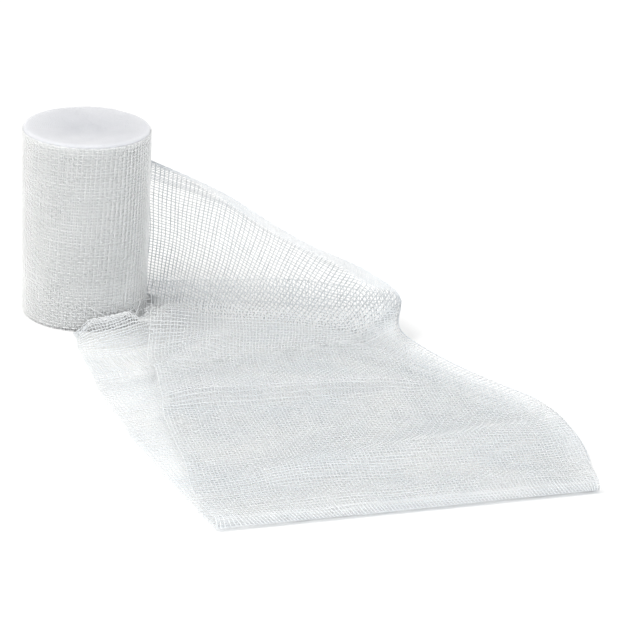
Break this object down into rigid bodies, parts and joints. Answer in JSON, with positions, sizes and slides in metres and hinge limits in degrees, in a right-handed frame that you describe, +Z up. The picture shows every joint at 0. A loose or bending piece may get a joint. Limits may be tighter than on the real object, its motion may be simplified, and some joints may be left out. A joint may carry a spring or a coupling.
{
  "type": "gauze bandage roll",
  "caption": "Open-weave cotton gauze bandage wound into an upright roll, with a wide loose end lying in front of it, folded back on itself and cut off raggedly.",
  "frame": {"origin": "centre of the roll's flat base, on the surface it stands on", "axes": "+Z up along the roll's axis; +X from the roll along the raised wall of the loose end; -Y forward, towards the front fold"},
  "size_m": [0.1718, 0.1745, 0.06],
  "materials": {
    "gauze": "matte"
  },
  "bodies": {
    "root": {"roll": "gauze", "loose_end": "gauze"}
  },
  "joints": []
}
